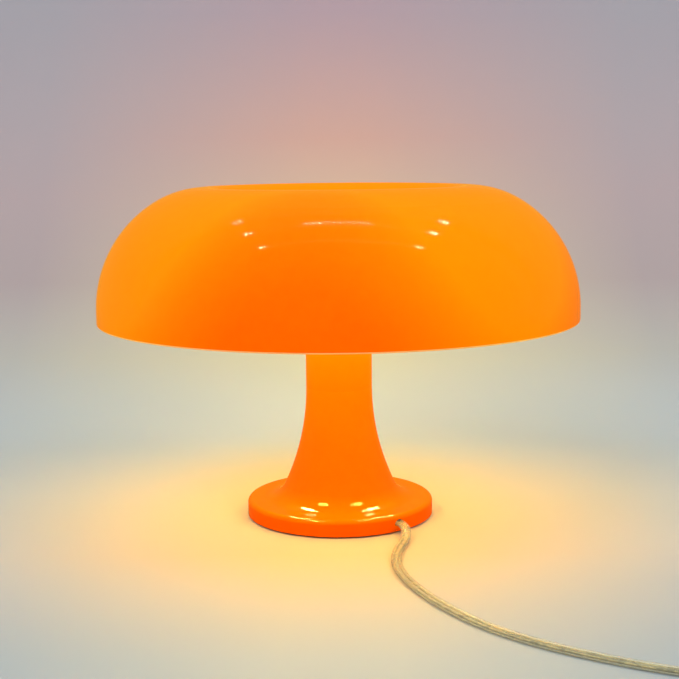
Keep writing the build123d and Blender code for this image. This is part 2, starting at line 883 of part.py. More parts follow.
def plug_entry():
    """Middle of the plug's back, where the cord goes in."""
    return Vector(tail_end_x, switch_line + 2 * coil_radius, plug_height / 2)


def cord_tail():
    """Last stretch of cord, from the top of the coil down and up into the plug."""
    start = half_turns()[-1] - (cord_width, 0, 0)
    entry = plug_entry()
    return flat_cord(
        cord_path(
            [
                (start.X, start.Y, start.Z),
                (start.X - tail_run, start.Y, start.Z),
                (entry.X + tail_run, entry.Y, entry.Z),
                (entry.X, entry.Y, entry.Z),
            ]
        )
    )


# ---- Plug ----------------------------------------------------------------------------
def plug_body():
    """Flat two-pin plug, its back drawn in to the cord."""
    back_end = -plug_back_length
    outline = Polyline(
        (0, -plug_back_width / 2),
        (back_end, -plug_back_width / 2),
        (back_end * 2, -plug_width / 2),
        (-plug_length + pin_seat, -plug_width / 2),
        (-plug_length, -plug_tip_width / 2),
        (-plug_length, plug_tip_width / 2),
        (-plug_length + pin_seat, plug_width / 2),
        (back_end * 2, plug_width / 2),
        (back_end, plug_back_width / 2),
        (0, plug_back_width / 2),
        close=True,
    )
    body = extrude(make_face(outline), plug_height / 2, both=True)
    body = fillet(body.edges().filter_by(Axis.Z), plug_corner)
    body = fillet(body.faces().filter_by(Axis.Z).edges(), plug_edge_round)
    for hole in both_pins(cylinder(pin_root_radius + screw_fit, -pin_seat, plug_edge_round)):
        body -= hole
    return Pos(*plug_entry()) * body


def both_pins(part):
    """A part built along +Z as each pin: from the plug's front, leaning to the other."""
    lean = math.degrees(math.asin((pin_spacing - pin_tip_spacing) / 2 / pin_length))
    return [
        Pos(-plug_length, side * pin_spacing / 2, 0) * Rot(0, 0, side * lean) * Rot(0, -90, 0) * part
        for side in (-1, 1)
    ]


def plug_pins():
    """Round pins of the plug, each with a thinner root that the plug holds."""
    pin = cylinder(pin_radius, pin_seat_play, pin_length)
    pin = chamfer(pin.edges().group_by(Axis.Z)[-1], pin_chamfer)
    pin += cylinder(pin_root_radius, -pin_seat, pin_seat_play)
    return [Pos(*plug_entry()) * placed for placed in both_pins(pin)]


# ---- Every piece, by its name --------------------------------------------------------
pieces = {
    "base_body": base_body(),
    "bottom_cover": bottom_cover(),
    "rubber_feet": rubber_feet(),
    "base_screws": base_screws(),
    "ballast_weight": ballast_weight(),
    "cord_grip": cord_grip(),
    "terminal_block": terminal_block(),
    "base_leads": base_leads(),
    "stem_leads": stem_leads(),
    "threaded_tube": threaded_tube(),
    "lower_washer": washer(web_height - washer_thickness),
    "lower_nut": nut(web_height - washer_thickness - nut_height),
    "upper_washer": washer(hub_floor),
    "upper_nut": nut(hub_floor + washer_thickness),
    "holder_hub": holder_hub(),
    "hub_lid": hub_lid(),
    "hub_screws": hub_screws(),
    "holder_nipples": holder_nipples(),
    "nipple_nuts": nipple_nuts(),
    "lead_connector": lead_connector(),
    "holder_leads": holder_leads(),
    "shade_seat_ring": shade_seat_ring(),
    "shade": shade(),
    "lamp_cord": lamp_cord(),
    "switch_base": switch_base(),
    "switch_cover": switch_cover(),
    "switch_rocker": switch_rocker(),
    "switch_contacts": switch_contacts(),
    "switch_screws": switch_screws(),
    "cord_to_coil": cord_to_coil(),
    "cord_coil": cord_coil(),
    "cord_tail": cord_tail(),
    "plug_body": plug_body(),
    "plug_pins": plug_pins(),
}
bulb_pieces = {
    "lampholder": lampholder(),
    "screw_shell": screw_shell(),
    "centre_contact": centre_contact(),
    "bulb_cap": bulb_cap(),
    "bulb_collar": bulb_collar(),
    "bulb_globe": bulb_globe(),
}
for name, piece in bulb_pieces.items():
    for number, placed in enumerate(each_bulb(piece), start=1):
        pieces[f"{name}_{number}"] = placed

os.makedirs("parts", exist_ok=True)
for name, piece in pieces.items():
    solid = Compound(children=piece) if isinstance(piece, list) else piece
    export_step(solid, f"parts/{name}.step")
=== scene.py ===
"""Looks of a mushroom-shaped table lamp, in metres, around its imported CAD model."""

import logging
import math
from collections.abc import Sequence
from dataclasses import dataclass, field
from enum import Enum

import bmesh
import bpy
from mathutils import Matrix, Vector


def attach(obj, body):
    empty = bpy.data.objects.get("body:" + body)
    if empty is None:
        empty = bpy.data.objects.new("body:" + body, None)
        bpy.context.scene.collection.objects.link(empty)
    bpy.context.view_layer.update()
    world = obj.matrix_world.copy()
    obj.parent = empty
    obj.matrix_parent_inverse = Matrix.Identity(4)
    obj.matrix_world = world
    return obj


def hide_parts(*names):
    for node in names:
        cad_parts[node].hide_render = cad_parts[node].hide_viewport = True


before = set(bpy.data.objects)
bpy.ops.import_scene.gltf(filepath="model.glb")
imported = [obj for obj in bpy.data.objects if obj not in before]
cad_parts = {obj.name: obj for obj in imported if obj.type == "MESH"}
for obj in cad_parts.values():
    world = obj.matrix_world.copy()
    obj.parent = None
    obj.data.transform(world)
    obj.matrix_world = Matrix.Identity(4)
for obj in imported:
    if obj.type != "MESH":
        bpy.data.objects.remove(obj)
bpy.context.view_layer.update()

MM = 0.001
CORD_EXIT = math.radians(-52.4)
CORNERS = ((-1, -1), (-1, 1), (1, -1), (1, 1))
log = logging.getLogger("mushroom_lamp")

Colour = tuple[float, float, float]
Point = tuple[float, float, float]


def srgb(red: int, green: int, blue: int) -> Colour:
    """Linear colour of three screen values from 0 to 255."""
    return tuple(
        (value / 255 / 12.92)
        if value / 255 <= 0.04045
        else ((value / 255 + 0.055) / 1.055) ** 2.4
        for value in (red, green, blue)
    )


def darker(colour: Colour, share: float) -> Colour:
    """Colour with each part multiplied by a share."""
    return tuple(part * share for part in colour)


def opaque(colour: Colour) -> tuple[float, float, float, float]:
    """Colour with full alpha, as a colour socket wants it."""
    return (*colour, 1.0)


# ---- Shader wiring --------------------------------------------------------------------
class Wiring:
    """Adds nodes to one node tree and links them."""

    def __init__(self, tree: bpy.types.NodeTree) -> None:
        """Keep the tree that is worked on."""
        self.tree = tree

    def node(self, kind: str, inputs: dict | None = None, **settings: object) -> bpy.types.Node:
        """Add a node.

        Args:
            kind: Blender's type name of the node, without its ShaderNode prefix.
            inputs: Value or output socket for each input, by name or number.
            settings: Attributes of the node itself.

        Returns:
            The new node.
        """
        made = self.tree.nodes.new("ShaderNode" + kind)
        for name, value in settings.items():
            setattr(made, name, value)
        for name, value in (inputs or {}).items():
            self.feed(made.inputs[name], value)
        return made

    def feed(self, socket: bpy.types.NodeSocket, value: object) -> None:
        """Link an output socket to an input, or set the input's own value."""
        if isinstance(value, bpy.types.NodeSocket):
            self.tree.links.new(value, socket)
        else:
            socket.default_value = value

    def math(self, operation: str, *values: object) -> bpy.types.NodeSocket:
        """Result of one arithmetic step on values or sockets."""
        return self.node("Math", dict(enumerate(values)), operation=operation).outputs[0]

    def distance(self, place: bpy.types.NodeSocket, point: Point) -> bpy.types.NodeSocket:
        """Distance of each place from a point."""
        made = self.node("VectorMath", {0: place, 1: point}, operation="DISTANCE")
        return made.outputs["Value"]

    def noise(
        self, place: bpy.types.NodeSocket, scale: object, detail: float = 2.0, rough: float = 0.5
    ) -> bpy.types.NodeSocket:
        """Smooth noise of a number of features per metre."""
        made = self.node(
            "TexNoise", {"Vector": place, "Scale": scale, "Detail": detail, "Roughness": rough}
        )
        return made.outputs["Fac"]

    def ramp(
        self, factor: bpy.types.NodeSocket, stops: Sequence[tuple[float, Colour]]
    ) -> bpy.types.NodeSocket:
        """Colour picked by a factor from a row of (position, colour) stops."""
        made = self.node("ValToRGB", {"Fac": factor})
        elements = made.color_ramp.elements
        elements[0].position, elements[-1].position = stops[0][0], stops[-1][0]
        elements[0].color, elements[-1].color = opaque(stops[0][1]), opaque(stops[-1][1])
        for position, colour in stops[1:-1]:
            elements.new(position).color = opaque(colour)
        return made.outputs["Color"]

    def spread(
        self, factor: object, low: float, high: float, start: float = 0.0, end: float = 1.0
    ) -> bpy.types.NodeSocket:
        """Factor that runs from start to end, stretched between two values."""
        made = self.node(
            "MapRange",
            {"Value": factor, "From Min": start, "From Max": end, "To Min": low, "To Max": high},
        )
        return made.outputs["Result"]

    def mix(self, factor: object, first: object, second: object) -> bpy.types.NodeSocket:
        """Colour between two colours or colour sockets."""
        made = self.node("Mix", data_type="RGBA")
        sockets = (made.inputs[0], made.inputs[6], made.inputs[7])
        for socket, value in zip(sockets, (factor, first, second)):
            self.feed(socket, opaque(value) if isinstance(value, tuple) else value)
        return made.outputs[2]

    def inward(
        self, place: bpy.types.NodeSocket, middle: Point, least: float
    ) -> bpy.types.NodeSocket:
        """Mask of the faces of a shell that look towards a point by more than a least share."""
        normal = self.node("TexCoord").outputs["Normal"]
        reach = self.node("VectorMath", {0: middle, 1: place}, operation="SUBTRACT")
        aim = self.node("VectorMath", {0: reach.outputs["Vector"]}, operation="NORMALIZE")
        facing = self.node(
            "VectorMath", {0: normal, 1: aim.outputs["Vector"]}, operation="DOT_PRODUCT"
        )
        return self.math("GREATER_THAN", facing.outputs["Value"], least)

    def mirror_rays(self) -> bpy.types.NodeSocket:
        """Mask of the rays that a glossy surface sends back, without those that pass through."""
        rays = self.node("LightPath").outputs
        passed = self.math("SUBTRACT", 1.0, rays["Is Transmission Ray"])
        return self.math("MULTIPLY", rays["Is Glossy Ray"], passed)

    def bump(
        self, height: bpy.types.NodeSocket, strength: float, depth: float
    ) -> bpy.types.NodeSocket:
        """Normal of a surface that a height makes uneven by up to a depth."""
        made = self.node("Bump", {"Height": height, "Strength": strength, "Distance": depth})
        return made.outputs["Normal"]


def effect_group(name: str, inputs: dict[str, str], outputs: dict[str, str]) -> Wiring:
    """Start a shader node group.

    Args:
        name: Name of the group.
        inputs: Socket type of each input, by name.
        outputs: Socket type of each output, by name.

    Returns:
        Wiring on the group's tree, which has its two end nodes.
    """
    tree = bpy.data.node_groups.new(name, "ShaderNodeTree")
    for direction, sockets in (("INPUT", inputs), ("OUTPUT", outputs)):
        for socket, kind in sockets.items():
            tree.interface.new_socket(socket, in_out=direction, socket_type="NodeSocket" + kind)
    tree.nodes.new("NodeGroupInput")
    tree.nodes.new("NodeGroupOutput")
    return Wiring(tree)


def group_ends(
    wiring: Wiring,
) -> tuple[bpy.types.bpy_prop_collection, bpy.types.bpy_prop_collection]:
    """Sockets that a group's inputs give, and those that its outputs take."""
    nodes = wiring.tree.nodes
    return nodes["Group Input"].outputs, nodes["Group Output"].inputs


def moulded_skin(
    peel_share: float = 0.25,
    wave_share: float = 3.0,
    marks_per_wave: float = 4.0,
    speck_edge: tuple[float, float] = (0.74, 0.8),
) -> None:
    """Make the group for the waviness, peel, dust and handling marks of a moulded surface.

    Args:
        peel_share: Weight of the fine peel in the height.
        wave_share: Weight of the slow waves in the height.
        marks_per_wave: Handling marks along one wave.
        speck_edge: Noise values at which a speck of dust starts and is full.
    """
    wiring = effect_group(
        "moulded_skin",
        {"Place": "Vector", "Peel Size": "Float", "Wave Size": "Float", "Speck Size": "Float"},
        {"Height": "Float", "Marks": "Float", "Specks": "Float"},
    )
    given, taken = group_ends(wiring)
    place = given["Place"]
    peel = wiring.noise(place, wiring.math("DIVIDE", 1.0, given["Peel Size"]))
    wave = wiring.noise(place, wiring.math("DIVIDE", 1.0, given["Wave Size"]))
    fine_peel = wiring.math("MULTIPLY", peel, peel_share)
    wiring.feed(taken["Height"], wiring.math("MULTIPLY_ADD", wave, wave_share, fine_peel))
    marks_scale = wiring.math("DIVIDE", marks_per_wave, given["Wave Size"])
    marks = wiring.noise(place, marks_scale, detail=6.0, rough=0.65)
    wiring.feed(taken["Marks"], marks)
    speck = wiring.noise(place, wiring.math("DIVIDE", 1.0, given["Speck Size"]), detail=1.0)
    wiring.feed(taken["Specks"], wiring.spread(speck, 0.0, 1.0, *speck_edge))


def painted_bulb_glow(reach: float, height: float, across: float, along: float, turn: float) -> None:
    """Make the group for the painted glow of four bulbs: their light, painted on a wall near them
    by nearness to them.

    Args:
        reach: Distance from a bulb at which its glow is 1.
        height: Height of the bulbs.
        across: Distance of their brightest points from the plane between left and right.
        along: Distance of these points from the plane between front and back.
        turn: Angle by which the points are turned about the lamp's axis, in radians.
    """
    wiring = effect_group("painted_bulb_glow", {"Place": "Vector"}, {"Glow": "Float"})
    given, taken = group_ends(wiring)
    total = 0.0
    for side_x, side_y in CORNERS:
        point = Vector((side_x * across, side_y * along, height))
        point.rotate(Matrix.Rotation(turn, 3, "Z"))
        away = wiring.distance(given["Place"], tuple(point))
        near = wiring.math("POWER", wiring.math("DIVIDE", away, reach), -2.0)
        total = wiring.math("ADD", total, near)
    wiring.feed(taken["Glow"], total)


# ---- Finishes -------------------------------------------------------------------------
@dataclass(frozen=True)
class Finish:
    """What every finish has: a name, a gloss and how it dresses an object.

    The sheen is the two shares of the roughness between which it varies.
    """

    name: str
    roughness: float = 0.3
    sheen: tuple[float, float] = (0.8, 1.25)

    def material(self) -> bpy.types.Material:
        """The finish as a material, made once."""
        found = bpy.data.materials.get("finish_" + self.name)
        if found:
            return found
        made = bpy.data.materials.new("finish_" + self.name)
        made.use_nodes = True
        shader = made.node_tree.nodes["Principled BSDF"]
        wiring = Wiring(made.node_tree)
        self.wire(wiring, shader, wiring.node("TexCoord").outputs["Object"])
        return made

    def wire(
        self, wiring: Wiring, shader: bpy.types.Node, place: bpy.types.NodeSocket
    ) -> None:
        """Wire the shader. Each finish has its own way."""
        raise NotImplementedError

    def gloss(self, wiring: Wiring, factor: bpy.types.NodeSocket) -> bpy.types.NodeSocket:
        """Roughness that varies with a factor between the finish's two shares."""
        low, high = self.sheen
        return wiring.spread(factor, self.roughness * low, self.roughness * high)

    def dress(self, piece: bpy.types.Object) -> None:
        """Put this finish on an object, in place of what it wore."""
        piece.data.materials.clear()
        piece.data.materials.append(self.material())


@dataclass(frozen=True)
class MouldedPlastic(Finish):
    """Opaque moulded plastic with peel, waviness, dust and faint marks."""

    colour: Colour = (0.8, 0.8, 0.8)
    tint: Colour = (0.7, 0.7, 0.7)
    roughness: float = 0.25
    index: float = 1.5
    shine_tint: Colour = (1.0, 1.0, 1.0)
    unevenness: float = 0.02
    dust: Colour = (0.75, 0.7, 0.62)
    dustiness: float = 0.1
    peel_size: float = 1.2 * MM
    wave_size: float = 30 * MM
    speck_size: float = 0.9 * MM

    def wire(
        self, wiring: Wiring, shader: bpy.types.Node, place: bpy.types.NodeSocket
    ) -> None:
        """Wire colour, gloss and bump from the shared skin group."""
        skin = wiring.node("Group", node_tree=bpy.data.node_groups["moulded_skin"])
        sizes = {
            "Place": place,
            "Peel Size": self.peel_size,
            "Wave Size": self.wave_size,
            "Speck Size": self.speck_size,
        }
        for name, value in sizes.items():
            wiring.feed(skin.inputs[name], value)
        marks = skin.outputs["Marks"]
        body = wiring.ramp(marks, [(0.3, self.tint), (0.7, self.colour)])
        dusty = wiring.math("MULTIPLY", skin.outputs["Specks"], self.dustiness)
        wiring.feed(shader.inputs["Base Color"], wiring.mix(dusty, body, self.dust))
        gloss = self.gloss(wiring, marks)
        wiring.feed(shader.inputs["Roughness"], wiring.math("ADD", gloss, dusty))
        shader.inputs["IOR"].default_value = self.index
        shader.inputs["Specular Tint"].default_value = opaque(self.shine_tint)
        normal = wiring.bump(skin.outputs["Height"], self.unevenness, MM)
        wiring.feed(shader.inputs["Normal"], normal)


@dataclass(frozen=True)
class PaintedGlowPlastic(MouldedPlastic):
    """Moulded plastic with painted bulb light: a glow by nearness to the bulbs, more on faces that
    look up, and a lighter colour on faces that look down.
    """

    # Painted light: the lighter colour of faces that look down, the lamp's lit inside.
    painted_inner_light: Colour = (1.0, 0.6, 0.2)
    middle: Point = (0.0, 0.0, -1.0)
    least: float = 0.1
    # Painted glow of the bulbs: its colours from far to near, its strength, the glow values at
    # which it starts and is full, and how much more faces that look up get.
    painted_glow_deep: Colour = (1.0, 0.1, 0.0)
    painted_glow_bright: Colour = (1.0, 0.4, 0.0)
    light: float = 0.3
    far_glow: float = 0.85
    near_glow: float = 1.3
    painted_upward_glow: float = 0.0

    def wire(
        self, wiring: Wiring, shader: bpy.types.Node, place: bpy.types.NodeSocket
    ) -> None:
        """Wire the plastic, the painted light on its faces that look down, and the painted glow by
        distance from the bulbs.
        """
        super().wire(wiring, shader, place)
        body = shader.inputs["Base Color"].links[0].from_socket
        # Painted light: faces that look down, as the lit inside does, take the lighter inner
        # colour.
        painted_inside_mask = wiring.inward(place, self.middle, self.least)
        wiring.feed(shader.inputs["Base Color"], wiring.mix(painted_inside_mask, body, self.painted_inner_light))
        # Painted glow: emission by nearness to the bulbs.
        glow = wiring.node("Group", node_tree=bpy.data.node_groups["painted_bulb_glow"])
        wiring.feed(glow.inputs["Place"], place)
        share = wiring.spread(glow.outputs["Glow"], 0.0, 1.0, self.far_glow, self.near_glow)
        # Painted light: faces that look up glow more, as if the bulbs' light fell on them.
        normal = wiring.node("TexCoord").outputs["Normal"]
        upward = wiring.node("SeparateXYZ", {"Vector": normal}).outputs["Z"]
        upward = wiring.math("SQRT", wiring.math("MAXIMUM", upward, 0.0))
        share = wiring.math("MULTIPLY_ADD", upward, self.painted_upward_glow, share)
        colour = wiring.ramp(share, [(0.0, self.painted_glow_deep), (1.0, self.painted_glow_bright)])
        wiring.feed(shader.inputs["Emission Color"], colour)
        shader.inputs["Emission Strength"].default_value = self.light


@dataclass(frozen=True)
class OpalGlass(Finish):
    """Opal glass of a lit bulb, a little cloudy."""

    colour: Colour = (0.95, 0.93, 0.88)
    warm: Colour = (1.0, 0.92, 0.25)
    light: float = 14.0
    cloud_scale: float = 60.0
    roughness: float = 0.12
    sheen: tuple[float, float] = (0.7, 1.3)

    def wire(
        self, wiring: Wiring, shader: bpy.types.Node, place: bpy.types.NodeSocket
    ) -> None:
        """Wire the cloudy colour and the light."""
        cloud = wiring.noise(place, self.cloud_scale, 3.0)
        body = wiring.ramp(cloud, [(0.35, self.colour), (0.7, darker(self.colour, 0.96))])
        lit = wiring.ramp(cloud, [(0.3, self.warm), (0.7, darker(self.warm, 0.94))])
        wiring.feed(shader.inputs["Base Color"], body)
        wiring.feed(shader.inputs["Emission Color"], lit)
        shader.inputs["Emission Strength"].default_value = self.light
        wiring.feed(shader.inputs["Roughness"], self.gloss(wiring, cloud))


@dataclass(frozen=True)
class Metal(Finish):
    """Bare or plated metal with fine drawing lines and dull spots."""

    colour: Colour = (0.8, 0.8, 0.8)
    dull: Colour = (0.5, 0.5, 0.5)
    sheen: tuple[float, float] = (1.4, 0.8)
    metallic: float = 1.0
    spot_scale: float = 180.0
    grain: float = 0.3 * MM
    grain_strength: float = 0.15
    grain_depth: float = 0.1 * MM

    def wire(
        self, wiring: Wiring, shader: bpy.types.Node, place: bpy.types.NodeSocket
    ) -> None:
        """Wire the colour, the roughness and the grain's bump."""
        spots = wiring.noise(place, self.spot_scale, 5.0)
        body = wiring.ramp(spots, [(0.35, self.dull), (0.6, self.colour)])
        wiring.feed(shader.inputs["Base Color"], body)
        shader.inputs["Metallic"].default_value = self.metallic
        wiring.feed(shader.inputs["Roughness"], self.gloss(wiring, spots))
        grain = wiring.noise(place, 1.0 / self.grain)
        normal = wiring.bump(grain, self.grain_strength, self.grain_depth)
        wiring.feed(shader.inputs["Normal"], normal)


@dataclass(frozen=True)
class ClearVinyl(Finish):
    """Clear soft plastic, a little milky and wavy, with rubbed spots."""

    colour: Colour = (0.96, 0.95, 0.83)
    rubbed: Colour = (0.88, 0.87, 0.73)
    clearness: float = 0.93
    roughness: float = 0.12
    sheen: tuple[float, float] = (1.5, 0.7)
    index: float = 1.2
    ripple_scale: float = 260.0
    ripple_strength: float = 0.08
    ripple_depth: float = 0.2 * MM

    def wire(
        self, wiring: Wiring, shader: bpy.types.Node, place: bpy.types.NodeSocket
    ) -> None:
        """Wire a see-through body with a soft ripple."""
        ripple = wiring.noise(place, self.ripple_scale, 3.0)
        body = wiring.ramp(ripple, [(0.3, self.rubbed), (0.6, self.colour)])
        wiring.feed(shader.inputs["Base Color"], body)
        shader.inputs["Transmission Weight"].default_value = self.clearness
        shader.inputs["IOR"].default_value = self.index
        wiring.feed(shader.inputs["Roughness"], self.gloss(wiring, ripple))
        normal = wiring.bump(ripple, self.ripple_strength, self.ripple_depth)
        wiring.feed(shader.inputs["Normal"], normal)


@dataclass(frozen=True)
class FrostedSheath(Finish):
    """Thin clear sheath, cream and see-through from above and darker at its edges."""

    colour: Colour = (1.0, 0.98, 0.66)
    edge: Colour = (0.2, 0.19, 0.08)
    veil: float = 0.2
    edge_veil: float = 0.7
    facing_blend: float = 0.3
    roughness: float = 0.25
    sheen: tuple[float, float] = (1.3, 0.8)
    gloss_level: float = 0.35
    ripple_scale: float = 260.0
    ripple_strength: float = 0.1
    ripple_depth: float = 0.2 * MM

    def wire(
        self, wiring: Wiring, shader: bpy.types.Node, place: bpy.types.NodeSocket
    ) -> None:
        """Wire colour and veil by the angle of view, with a soft ripple."""
        ripple = wiring.noise(place, self.ripple_scale, 3.0)
        edge = wiring.node("LayerWeight", {"Blend": self.facing_blend}).outputs["Facing"]
        body = wiring.ramp(ripple, [(0.3, darker(self.colour, 0.88)), (0.65, self.colour)])
        wiring.feed(shader.inputs["Base Color"], wiring.mix(edge, body, self.edge))
        wiring.feed(shader.inputs["Alpha"], wiring.spread(edge, self.veil, self.edge_veil))
        wiring.feed(shader.inputs["Roughness"], self.gloss(wiring, ripple))
        shader.inputs["Specular IOR Level"].default_value = self.gloss_level
        normal = wiring.bump(ripple, self.ripple_strength, self.ripple_depth)
        wiring.feed(shader.inputs["Normal"], normal)


# Painted light: the shade glows by nearness to the bulbs, standing in for their light through its
# wall, and its faces that look down are painted lighter.
ORANGE = PaintedGlowPlastic(
    "orange_shade",
    colour=srgb(252, 100, 0),
    tint=srgb(249, 95, 0),
    roughness=0.045,
    index=1.22,
    shine_tint=(1.0, 0.7, 0.2),
    dustiness=0.02,
    painted_glow_deep=srgb(255, 86, 0),
    painted_glow_bright=srgb(255, 198, 0),
    far_glow=0.8,
    near_glow=1.2,
)
# Painted light: the foot glows by nearness to the bulbs and more on faces that look up, standing in
# for their light falling on it, and its faces that look down are painted lighter.
ORANGE_FOOT = PaintedGlowPlastic(
    "orange_foot",
    colour=srgb(252, 94, 0),
    tint=srgb(248, 89, 0),
    roughness=0.05,
    index=1.16,
    shine_tint=(1.0, 0.7, 0.2),
    dustiness=0.02,
    painted_glow_deep=(0.0, 0.0, 0.0),
    painted_glow_bright=(0.4, 0.36, 0.0),
    light=0.42,
    painted_inner_light=srgb(252, 117, 0),
    far_glow=0.7,
    near_glow=1.8,
    painted_upward_glow=0.47,
)
BLACK = MouldedPlastic(
    "black_plastic",
    colour=(0.05, 0.05, 0.05),
    tint=(0.035, 0.035, 0.035),
    roughness=0.45,
    unevenness=0.2,
)
WHITE = MouldedPlastic(
    "white_plastic", colour=(0.82, 0.81, 0.78), tint=(0.74, 0.73, 0.69), roughness=0.3
)
RUBBER = MouldedPlastic(
    "rubber", colour=(0.16, 0.16, 0.15), tint=(0.12, 0.12, 0.11), roughness=0.7, unevenness=0.4
)
FELT = MouldedPlastic(
    "felt", colour=(0.8, 0.78, 0.72), tint=(0.62, 0.6, 0.54), roughness=0.9, unevenness=0.8
)
CLEAR = ClearVinyl("clear_vinyl")
SHEATH = FrostedSheath("cord_sheath")
WIRE_RED = MouldedPlastic(
    "wire_sleeve", colour=(0.7, 0.1, 0.05), tint=(0.6, 0.07, 0.04), roughness=0.4
)
STRANDS = Metal(
    "wire_strands", colour=(0.3, 0.28, 0.11), dull=(0.05, 0.047, 0.015), roughness=0.4
)
IRON = Metal(
    "cast_iron", colour=(0.2, 0.2, 0.21), dull=(0.11, 0.11, 0.12), roughness=0.6, grain=0.8 * MM
)
ZINC = Metal("zinc_steel", colour=(0.74, 0.74, 0.73), dull=(0.5, 0.5, 0.5))
BRASS = Metal("brass", colour=(0.8, 0.6, 0.25), dull=(0.55, 0.38, 0.14))
PLATED = Metal(
    "plated_pins", colour=(0.8, 0.78, 0.73), dull=(0.62, 0.6, 0.55), metallic=0.4
)
CAP_METAL = Metal("cap_metal", colour=(0.78, 0.78, 0.79), dull=(0.58, 0.58, 0.6), roughness=0.22)
OPAL = OpalGlass("opal_glass")

BULB_COUNT = 4
FINISH_OF_NODES: dict[Finish, list[str]] = {
    ORANGE: ["shade"],
    ORANGE_FOOT: ["base_body"],
    BLACK: ["bottom_cover"],
    WHITE: ["terminal_block", "holder_hub", "hub_lid", "lead_connector", "switch_rocker"],
    RUBBER: ["rubber_feet"],
    FELT: ["shade_seat_ring"],
    CLEAR: ["cord_grip", "switch_base", "switch_cover", "plug_body"],
    WIRE_RED: ["base_leads", "stem_leads", "holder_leads"],
    IRON: ["ballast_weight"],
    ZINC: [
        "base_screws",
        "threaded_tube",
        "lower_washer",
        "lower_nut",
        "upper_washer",
        "upper_nut",
        "hub_screws",
        "holder_nipples",
        "nipple_nuts",
        "switch_screws",
    ],
    BRASS: ["switch_contacts"],
    PLATED: ["plug_pins"],
    CAP_METAL: [],
    OPAL: [],
}
for number in range(1, BULB_COUNT + 1):
    FINISH_OF_NODES[WHITE] += [f"lampholder_{number}", f"bulb_collar_{number}"]
    FINISH_OF_NODES[BRASS] += [f"screw_shell_{number}", f"centre_contact_{number}"]
    FINISH_OF_NODES[CAP_METAL].append(f"bulb_cap_{number}")
    FINISH_OF_NODES[OPAL].append(f"bulb_globe_{number}")


# ---- Small parts ----------------------------------------------------------------------
def shown(name: str, mesh: bmesh.types.BMesh) -> bpy.types.Object:
    """Make an object of a finished mesh, smooth and in the scene.

    Args:
        name: Name of the object.
        mesh: The shape, which is freed.

    Returns:
        The new object, at the origin.
    """
    bmesh.ops.recalc_face_normals(mesh, faces=mesh.faces[:])
    data = bpy.data.meshes.new(name)
    mesh.to_mesh(data)
    mesh.free()
    for face in data.polygons:
        face.use_smooth = True
    made = bpy.data.objects.new(name, data)
    bpy.context.scene.collection.objects.link(made)
    return made


@dataclass
class CordKeeper:
    """Tongue that closes the foot's notch below the cord."""

    exit_angle: float = CORD_EXIT
    near: float = 57.0 * MM
    far: float = 62.7 * MM
    width: float = 7.3 * MM
    bottom: float = 1.0 * MM
    top: float = 5.0 * MM
    edge_round: float = 0.4 * MM
    round_steps: int = 3

    def build(self) -> None:
        """Build the tongue in the notch."""
        mesh = bmesh.new()
        bmesh.ops.create_cube(mesh, size=1.0)
        size = (self.far - self.near, self.width, self.top - self.bottom)
        bmesh.ops.scale(mesh, vec=size, verts=mesh.verts)
        bmesh.ops.bevel(
            mesh,
            geom=mesh.edges[:],
            offset=self.edge_round,
            offset_type="OFFSET",
            affect="EDGES",
            segments=self.round_steps,
            profile=0.5,
            material=-1,
        )
        middle = ((self.near + self.far) / 2, 0.0, (self.bottom + self.top) / 2)
        bmesh.ops.translate(mesh, vec=middle, verts=mesh.verts)
        turn = Matrix.Rotation(self.exit_angle, 3, "Z")
        bmesh.ops.rotate(mesh, cent=(0, 0, 0), matrix=turn, verts=mesh.verts)
        piece = shown("cord_keeper", mesh)
        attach(piece, "base")
        ORANGE_FOOT.dress(piece)
        log.info("cord keeper in the notch")


# ---- Cord -----------------------------------------------------------------------------
class Lie(Enum):
    """Height of the cord's middle, in millimetres."""

    NOTCH = 6.3
    MOUTH = 7.4
    TABLE = 1.9
    SECOND_LAYER = 6.5
    SWITCH = 6.0
    PLUG = 6.85


